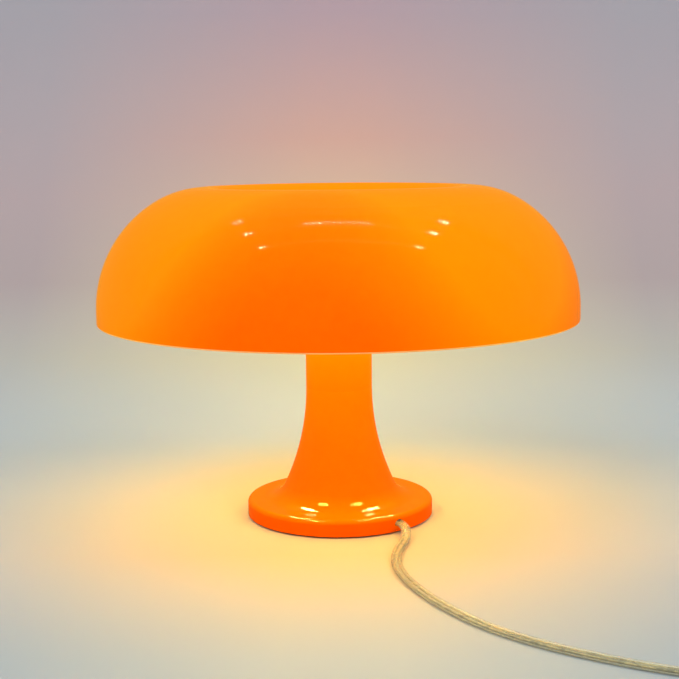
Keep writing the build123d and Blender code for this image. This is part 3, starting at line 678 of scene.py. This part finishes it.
@dataclass
class FlatCord:
    """Clear flat twin cord, as two stretches with the switch between them."""

    width: float = 6.4 * MM
    thickness: float = 3.2 * MM
    groove: float = 0.6 * MM
    groove_share: float = 0.45
    groove_from: float = 0.5
    bridge_steepness: float = 4.0
    outline_steps: int = 40
    core_radius: float = 0.72 * MM
    core_spacing: float = 3.1 * MM
    strand_count: int = 7
    strand_relief: float = 0.12
    steps_per_strand: int = 4
    strand_lay: float = 16 * MM
    line_steps: int = 24
    sheath_steps: int = 10
    exit_angle: float = CORD_EXIT
    notch_radius: float = 63 * MM
    switch_line: float = -291.0
    coil_middle: tuple[float, float] = (345.0, -231.0)
    coil_radius: float = 60.0
    coil_turns: int = 2
    coil_step: float = 13.0
    points_per_half_turn: int = 8
    lamp_stretch: list[Point] = field(
        default_factory=lambda: [
            (34.17, -44.37, Lie.NOTCH.value),
            (41.49, -53.88, Lie.MOUTH.value),
            (42.4, -69.0, 2.6),
            (35.6, -90.5, Lie.TABLE.value),
            (32.6, -113.5, Lie.TABLE.value),
            (35.2, -137.5, Lie.TABLE.value),
            (43.4, -164.5, Lie.TABLE.value),
            (56.6, -193.0, Lie.TABLE.value),
            (76.0, -223.0, Lie.TABLE.value),
            (103.0, -248.5, Lie.TABLE.value),
            (136.0, -269.5, Lie.TABLE.value),
            (166.0, -284.0, Lie.TABLE.value),
            (190.0, -291.0, Lie.TABLE.value),
            (212.0, -291.0, Lie.SWITCH.value),
            (232.0, -291.0, Lie.SWITCH.value),
        ]
    )

    def coil_points(self) -> list[Point]:
        """Points of the coil's turns, in and then out again in a second layer."""
        steps = 2 * self.coil_turns
        radii = [self.coil_radius - self.coil_step / 2 * step for step in range(steps + 1)]
        radii += radii[::-1]
        middle_x, middle_y = self.coil_middle
        outward = 1 / math.cos(math.pi / 2 / self.points_per_half_turn)
        points = []
        for index, (start, end) in enumerate(zip(radii, radii[1:])):
            side = -1 if index % 2 == 0 else 1
            low, high = (
                (Lie.SECOND_LAYER if at > steps else Lie.TABLE).value for at in (index, index + 1)
            )
            centre_y = middle_y + side * (start - end) / 2
            reach = (start + end) / 2 * outward
            for step in range(self.points_per_half_turn):
                share = (step + 0.5) / self.points_per_half_turn
                across = side * reach * math.sin(math.pi * share)
                along = side * reach * math.cos(math.pi * share)
                height = low + (high - low) * share
                points.append((middle_x - across, centre_y + along, height))
        return points

    def spare_stretch(self) -> list[Point]:
        """Points from the switch, through the coil, to the plug."""
        near_y = self.switch_line
        far_y = near_y + 2 * self.coil_radius
        return [
            (292, near_y, Lie.SWITCH.value),
            (306, near_y, Lie.SWITCH.value),
            (324, near_y, Lie.TABLE.value),
            (338.6, near_y, Lie.TABLE.value),
            *self.coil_points(),
            (338.6, far_y, Lie.SECOND_LAYER.value),
            (326.6, far_y, Lie.SECOND_LAYER.value),
            (312, far_y, Lie.PLUG.value),
            (300, far_y, Lie.PLUG.value),
        ]

    def route(self, name: str, points: list[Point]) -> bpy.types.Object:
        """Smooth line that a stretch of cord follows.

        Args:
            name: Name of the line's object.
            points: Control points in millimetres.

        Returns:
            A NURBS curve object with no thickness.
        """
        curve = bpy.data.curves.new(name, "CURVE")
        curve.dimensions = "3D"
        curve.resolution_u = self.line_steps
        curve.twist_mode = "Z_UP"
        spline = curve.splines.new("NURBS")
        spline.points.add(len(points) - 1)
        for point, place in zip(spline.points, points):
            point.co = (*(Vector(place) * MM), 1.0)
        spline.order_u = 3
        spline.use_endpoint_u = True
        made = bpy.data.objects.new(name, curve)
        bpy.context.scene.collection.objects.link(made)
        return made

    def mesh_of(self, curve: bpy.types.Object) -> bpy.types.Mesh:
        """Mesh of a curve object as it stands."""
        bpy.context.view_layer.update()
        seen = curve.evaluated_get(bpy.context.evaluated_depsgraph_get())
        return bpy.data.meshes.new_from_object(seen)

    def line_of(self, route: bpy.types.Object) -> list[Vector]:
        """Points along a route's smooth line."""
        mesh = self.mesh_of(route)
        points = [vertex.co.copy() for vertex in mesh.vertices]
        bpy.data.meshes.remove(mesh)
        return points

    def section(self, name: str, outline: list[tuple[float, float]]) -> bpy.types.Object:
        """Closed outline that is swept along a route, from (across, up) points."""
        curve = bpy.data.curves.new(name, "CURVE")
        spline = curve.splines.new("POLY")
        spline.points.add(len(outline) - 1)
        for point, (across, up) in zip(spline.points, outline):
            point.co = (across, up, 0.0, 1.0)
        spline.use_cyclic_u = True
        made = bpy.data.objects.new(name, curve)
        bpy.context.scene.collection.objects.link(made)
        return made

    def sheath_outline(self) -> list[tuple[float, float]]:
        """Outline of the flat sheath, with a shallow groove between its two cores."""
        lobe = self.thickness / 2
        offset = self.width / 2 - lobe
        outline = []
        for step in range(self.outline_steps):
            angle = 2 * math.pi * step / self.outline_steps
            across, up = math.cos(angle), math.sin(angle)
            aside = min(1.0, abs(across) * self.bridge_steepness)
            x = lobe * across + math.copysign(offset, across) * aside
            dip = self.groove * math.exp(-((x / (self.groove_share * offset)) ** 2))
            outline.append((x, lobe * up - math.copysign(dip, up) * (abs(up) > self.groove_from)))
        return outline

    def core_outline(self) -> list[tuple[float, float]]:
        """Outline of a bundle of twisted strands."""
        outline = []
        steps = self.strand_count * self.steps_per_strand
        for step in range(steps):
            angle = 2 * math.pi * step / steps
            dip = abs(math.sin(angle * self.strand_count / 2)) ** 0.5
            reach = self.core_radius * (1 - self.strand_relief * dip)
            outline.append((reach * math.cos(angle), reach * math.sin(angle)))
        return outline

    def swept(
        self, name: str, curve: bpy.types.Object, outline: bpy.types.Object
    ) -> bpy.types.Object:
        """Mesh of an outline swept along a curve object."""
        curve.data.bevel_mode = "OBJECT"
        curve.data.bevel_object = outline
        curve.data.use_fill_caps = True
        mesh = self.mesh_of(curve)
        mesh.name = name
        made = bpy.data.objects.new(name, mesh)
        bpy.context.scene.collection.objects.link(made)
        for face in mesh.polygons:
            face.use_smooth = True
        return made

    def core_curve(self, name: str, line: list[Vector], side: int) -> bpy.types.Object:
        """Line of one core, beside the cord's own line, that twists as its strands do."""
        curve = bpy.data.curves.new(name, "CURVE")
        curve.dimensions = "3D"
        curve.twist_mode = "Z_UP"
        spline = curve.splines.new("POLY")
        spline.points.add(len(line) - 1)
        travelled = 0.0
        for index, place in enumerate(line):
            ahead = line[min(index + 1, len(line) - 1)] - line[max(index - 1, 0)]
            across = Vector((0, 0, 1)).cross(ahead).normalized()
            if index:
                travelled += (place - line[index - 1]).length
            spline.points[index].co = (*(place + across * side * self.core_spacing / 2), 1.0)
            spline.points[index].tilt = 2 * math.pi * travelled / self.strand_lay
        made = bpy.data.objects.new(name, curve)
        bpy.context.scene.collection.objects.link(made)
        return made

    def joined(self, name: str, halves: list[bpy.types.Object]) -> bpy.types.Object:
        """One object from several meshes."""
        with bpy.context.temp_override(
            active_object=halves[0], object=halves[0], selected_editable_objects=halves
        ):
            bpy.ops.object.join()
        halves[0].name = name
        return halves[0]

    def stretch(
        self, name: str, points: list[Point]
    ) -> tuple[bpy.types.Object, bpy.types.Object, list[Vector]]:
        """Build one stretch of cord.

        Args:
            name: Name that its two pieces start with.
            points: Control points in millimetres.

        Returns:
            The sheath, the two cores, and the points of the line they follow.
        """
        route = self.route(name + "_route", points)
        line = self.line_of(route)
        route.data.resolution_u = self.sheath_steps
        outline = self.section(name + "_sheath_outline", self.sheath_outline())
        sheath = self.swept(name + "_sheath", route, outline)
        core_outline = self.section(name + "_core_outline", self.core_outline())
        halves = []
        for side in (-1, 1):
            core = self.core_curve(f"{name}_core_line_{side}", line, side)
            halves.append(self.swept(f"{name}_core_{side}", core, core_outline))
            bpy.data.objects.remove(core)
        for spare in (route, outline, core_outline):
            bpy.data.objects.remove(spare)
        cores = self.joined(name + "_cores", halves)
        for piece, finish, slot in ((sheath, SHEATH, "clear_cord"), (cores, STRANDS, "wire")):
            finish.dress(piece)
            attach(piece, "base")
        return sheath, cores, line

    def build(self) -> None:
        """Build both stretches, and hide the CAD nodes that they stand in for."""
        sheath, cores, line = self.stretch("lamp_cord", self.lamp_stretch)
        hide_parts("lamp_cord")
        sheath, cores, line = self.stretch("spare_cord", self.spare_stretch())
        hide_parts("cord_to_coil", "cord_coil", "cord_tail")


# ---- Studio ---------------------------------------------------------------------------
@dataclass
class Studio:
    """Camera, soft lights, and a pale sweep that is floor and backdrop in one.

    The colours named mirrored are painted reflections: what shiny surfaces show of the sweep and
    the room, warmer near the lamp.
    """

    eye: Point = (0.0006, -0.849, 0.245)
    pitch: float = math.radians(8.4)
    roll: float = 0.0097
    lens: float = 67.49
    sensor: float = 36.0
    sweep_half: float = 3.5
    sweep_front: float = -3.0
    sweep_back: float = 0.2
    sweep_round: float = 0.4
    sweep_height: float = 3.5
    sweep_steps: int = 24
    sweep_roughness: float = 0.8
    # Painted light: a warm pool of the lamp's light on the floor near the middle, with darker,
    # cooler floor at the sides and front.
    floor_painted_pool: tuple[tuple[float, Colour], ...] = (
        (0.0, (0.47, 0.48, 0.395)),
        (0.36, (0.55, 0.45, 0.27)),
        (0.67, (0.55, 0.54, 0.43)),
        (1.0, (0.53, 0.58, 0.49)),
    )
    floor_sides: tuple[tuple[float, Colour], ...] = (
        (0.0, (0.19, 0.29, 0.42)),
        (0.36, (0.34, 0.42, 0.49)),
        (0.67, (0.4, 0.46, 0.48)),
        (1.0, (0.41, 0.465, 0.475)),
    )
    # Painted light: a warm glow of the lamp on the backdrop above and behind it, cooler and darker
    # at its sides.
    wall_painted_glow: tuple[tuple[float, Colour], ...] = (
        (0.0, (0.53, 0.58, 0.49)),
        (0.11, (0.62, 0.58, 0.35)),
        (0.65, (0.565, 0.357, 0.295)),
        (1.0, (0.44, 0.342, 0.385)),
    )
    wall_sides: tuple[tuple[float, Colour], ...] = (
        (0.0, (0.41, 0.465, 0.475)),
        (0.12, (0.4, 0.4, 0.36)),
        (0.28, (0.37, 0.317, 0.312)),
        (0.5, (0.395, 0.328, 0.335)),
        (1.0, (0.37, 0.362, 0.402)),
    )
    painted_glow_width: tuple[float, float] = (0.03, 0.32)
    floor_near: float = -0.26
    wall_foot: float = 0.003
    wall_top: float = 0.4
    # Painted reflection: colours that glossy rays see on the sweep, orange near the lamp and paler
    # further off.
    mirrored: Colour = (0.42, 0.18, 0.05)
    mirrored_afar: Colour = (0.6, 0.42, 0.24)
    mirrored_reach: tuple[float, float] = (0.7, 2.4)
    afar: Colour = (0.46, 0.46, 0.45)
    afar_across: tuple[float, float] = (0.26, 0.5)
    afar_widening: float = -0.35
    afar_front: tuple[float, float] = (-0.28, -0.5)
    afar_up: tuple[float, float] = (0.42, 0.8)
    room_colour: Colour = (0.95, 0.96, 1.0)
    room_mirrored: Colour = (0.8, 0.6, 0.36)
    room_strength: float = 0.7
    softbox_aim: Point = (0.0, 0.0, 0.15)
    softbox_list: tuple[tuple[str, Point, tuple[float, float], float], ...] = (
        ("key_softbox", (-1.2, -1.3, 1.9), (1.4, 1.0), 20.0),
        ("fill_softbox", (1.5, -0.9, 1.5), (1.2, 1.2), 13.0),
        ("top_softbox", (0.0, 0.0, 1.6), (1.5, 1.2), 5.8),
    )
    ceiling: float = 1.6
    strip_length: float = 1.515
    strip_shift: float = 0.04
    strip_width: float = 0.05
    strip_power: float = 4.5
    strip_lines: tuple[float, ...] = (0.34, -0.045, -0.485)
    spot_count: int = 10
    spot_pitch: float = 0.05
    spot_size: tuple[float, float] = (0.012, 0.03)
    spot_power: float = 0.7
    spot_line: float = 0.01
    end_pitch: float = 0.05
    glint_radius: float = 23.2 * MM
    glint_offset: float = 63.3 * MM
    glint_height: float = 169 * MM
    glint_power: float = 6.0
    glint_colour: Colour = (1.0, 0.9, 0.3)

    def camera(self) -> None:
        """Make the camera at the photograph's angle."""
        data = bpy.data.cameras.new("camera")
        data.lens = self.lens
        data.sensor_width = self.sensor
        made = bpy.data.objects.new("camera", data)
        tip = Matrix.Rotation(math.pi / 2 - self.pitch, 4, "X")
        made.matrix_world = Matrix.Translation(self.eye) @ tip @ Matrix.Rotation(-self.roll, 4, "Z")
        bpy.context.scene.collection.objects.link(made)
        bpy.context.scene.camera = made

    def light(
        self, name: str, place: Point, size: tuple[float, float], power: float, aim: Point
    ) -> bpy.types.Object:
        """Hang a flat rectangular light.

        Args:
            name: Name of the light.
            place: Its middle.
            size: Its two sides.
            power: Its power in watts.
            aim: Point that it faces.

        Returns:
            The light, which the camera doesn't see.
        """
        data = bpy.data.lights.new(name, "AREA")
        data.shape = "RECTANGLE"
        data.size, data.size_y = size
        data.energy = power
        made = bpy.data.objects.new(name, data)
        facing = (Vector(aim) - Vector(place)).to_track_quat("-Z", "Y").to_matrix().to_4x4()
        made.matrix_world = Matrix.Translation(place) @ facing
        made.visible_camera = False
        bpy.context.scene.collection.objects.link(made)
        return made

    def softboxes(self) -> None:
        """Hang the large soft lights, which leave no shapes on glossy surfaces."""
        for name, place, size, power in self.softbox_list:
            self.light(name, place, size, power, self.softbox_aim).visible_glossy = False

    def ceiling_strips(self) -> None:
        """Hang thin strips and a row of small spots that draw fine lines on the shade."""
        for number, line in enumerate(self.strip_lines):
            self.light(
                f"ceiling_strip_{number}",
                (self.strip_shift, line, self.ceiling),
                (self.strip_length, self.strip_width),
                self.strip_power,
                (self.strip_shift, line, 0.0),
            ).visible_diffuse = False
        row = [
            ((number - (self.spot_count - 1) / 2) * self.spot_pitch, self.spot_line)
            for number in range(self.spot_count)
        ]
        row += [
            (self.strip_shift + side * (self.strip_length / 2 + end * self.end_pitch), line)
            for line in self.strip_lines
            for side in (-1, 1)
            for end in (0, 1)
        ]
        for number, (across, line) in enumerate(row):
            self.light(
                f"ceiling_spot_{number}",
                (across, line, self.ceiling),
                self.spot_size,
                self.spot_power,
                (across, line, 0.0),
            ).visible_diffuse = False

    def bulb_glints(self) -> None:
        """Put a light round each bulb that only shows where the foot reflects the bulb."""
        foot_only = bpy.data.collections.new("glint_receivers")
        foot_only.objects.link(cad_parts["base_body"])
        for number, (side_x, side_y) in enumerate(CORNERS):
            data = bpy.data.lights.new(f"bulb_glint_{number}", "POINT")
            data.shadow_soft_size = self.glint_radius
            data.energy = self.glint_power
            data.color = self.glint_colour
            data.use_soft_falloff = False
            made = bpy.data.objects.new(f"bulb_glint_{number}", data)
            made.location = (
                side_x * self.glint_offset,
                side_y * self.glint_offset,
                self.glint_height,
            )
            made.visible_camera = made.visible_diffuse = made.visible_transmission = False
            made.light_linking.receiver_collection = foot_only
            bpy.context.scene.collection.objects.link(made)

    def sweep_shape(self) -> bpy.types.Object:
        """Shape the floor that curves up into the backdrop."""
        mesh = bmesh.new()
        tip = mesh.verts.new((-self.sweep_half, self.sweep_front, 0))
        tip = bmesh.ops.extrude_vert_indiv(mesh, verts=[tip])["verts"][0]
        tip.co.y = self.sweep_back
        turned = bmesh.ops.spin(
            mesh,
            geom=[tip],
            cent=(-self.sweep_half, self.sweep_back, self.sweep_round),
            axis=(1, 0, 0),
            angle=math.pi / 2,
            steps=self.sweep_steps,
        )
        tip = next(part for part in turned["geom_last"] if isinstance(part, bmesh.types.BMVert))
        tip = bmesh.ops.extrude_vert_indiv(mesh, verts=[tip])["verts"][0]
        tip.co.z = self.sweep_height
        strip = bmesh.ops.extrude_edge_only(mesh, edges=mesh.edges[:])
        moved = [part for part in strip["geom"] if isinstance(part, bmesh.types.BMVert)]
        bmesh.ops.translate(mesh, verts=moved, vec=(2 * self.sweep_half, 0, 0))
        made = shown("sweep", mesh)
        # The faces come in no fixed order, so the flat floor is looked for by its normal.
        floor = max(made.data.polygons, key=lambda face: abs(face.normal.z))
        if floor.normal.z < 0:
            made.data.flip_normals()
        return made

    def sweep(self) -> None:
        """Make the floor and the backdrop, with the lamp's light painted on them, which can be
        looked through from behind.
        """
        made = self.sweep_shape()
        material = bpy.data.materials.new("pale_sweep")
        material.use_nodes = True
        wiring = Wiring(material.node_tree)
        shader = material.node_tree.nodes["Principled BSDF"]
        place = wiring.node("TexCoord").outputs["Object"]
        parts = wiring.node("SeparateXYZ", {"Vector": place}).outputs
        # Painted light: the lamp's warm pool and glow in a band about the middle, darker and cooler
        # colours at the sides.
        aside = wiring.spread(wiring.math("ABSOLUTE", parts["X"]), 0.0, 1.0, *self.painted_glow_width)
        along = wiring.spread(parts["Y"], 0.0, 1.0, self.floor_near, self.sweep_back)
        floor = wiring.mix(
            aside, wiring.ramp(along, self.floor_painted_pool), wiring.ramp(along, self.floor_sides)
        )
        height = wiring.spread(parts["Z"], 0.0, 1.0, 0.0, self.wall_top)
        wall = wiring.mix(
            aside, wiring.ramp(height, self.wall_painted_glow), wiring.ramp(height, self.wall_sides)
        )
        rise = wiring.spread(parts["Z"], 0.0, 1.0, 0.0, self.wall_foot)
        across = wiring.math("ABSOLUTE", parts["X"])
        across = wiring.math("MULTIPLY_ADD", parts["Y"], self.afar_widening, across)
        outside = 0.0
        for far, reach in (
            (across, self.afar_across),
            (parts["Y"], self.afar_front),
            (parts["Z"], self.afar_up),
        ):
            outside = wiring.math("MAXIMUM", outside, wiring.spread(far, 0.0, 1.0, *reach))
        seen = wiring.mix(outside, wiring.mix(rise, floor, wall), self.afar)
        # Painted reflection: glossy rays see the mirrored colours instead of the sweep's own.
        away = wiring.spread(
            wiring.distance(place, (0.0, 0.0, 0.0)), 0.0, 1.0, *self.mirrored_reach
        )
        mirrored = wiring.mix(away, self.mirrored, self.mirrored_afar)
        wiring.feed(shader.inputs["Base Color"], wiring.mix(wiring.mirror_rays(), seen, mirrored))
        shader.inputs["Roughness"].default_value = self.sweep_roughness
        shader.inputs["Specular IOR Level"].default_value = 0.0
        behind = wiring.node("NewGeometry").outputs["Backfacing"]
        clear = wiring.node("BsdfTransparent").outputs[0]
        surface = wiring.node("MixShader", {0: behind, 1: shader.outputs[0], 2: clear})
        output = material.node_tree.nodes["Material Output"]
        wiring.feed(output.inputs["Surface"], surface.outputs[0])
        made.data.materials.append(material)

    def room(self) -> None:
        """Make the even light that fills the room."""
        made = bpy.data.worlds.new("studio")
        made.use_nodes = True
        glow = made.node_tree.nodes["Background"]
        wiring = Wiring(made.node_tree)
        # Painted reflection: glossy rays see the room in a warmer colour.
        colour = wiring.mix(wiring.mirror_rays(), self.room_colour, self.room_mirrored)
        wiring.feed(glow.inputs["Color"], colour)
        glow.inputs["Strength"].default_value = self.room_strength
        bpy.context.scene.world = made

    def build(self) -> None:
        """Build everything but the camera, which comes before the pieces."""
        self.sweep()
        self.room()
        self.softboxes()
        self.ceiling_strips()
        self.bulb_glints()


def main() -> None:
    """Build the studio and every piece, and log what was made."""
    logging.basicConfig(level=logging.INFO, format="%(name)s: %(message)s")
    moulded_skin()
    painted_bulb_glow(67 * MM, height=160 * MM, across=70 * MM, along=58 * MM, turn=math.radians(-8))
    studio = Studio()
    studio.camera()
    FlatCord().build()
    CordKeeper().build()
    for finish, nodes in FINISH_OF_NODES.items():
        for node in nodes:
            finish.dress(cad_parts[node])
            log.info("%s dressed as %s", node, finish.name)
    studio.build()
    bpy.context.scene.view_settings.view_transform = "Standard"


if __name__ == "__main__":
    main()
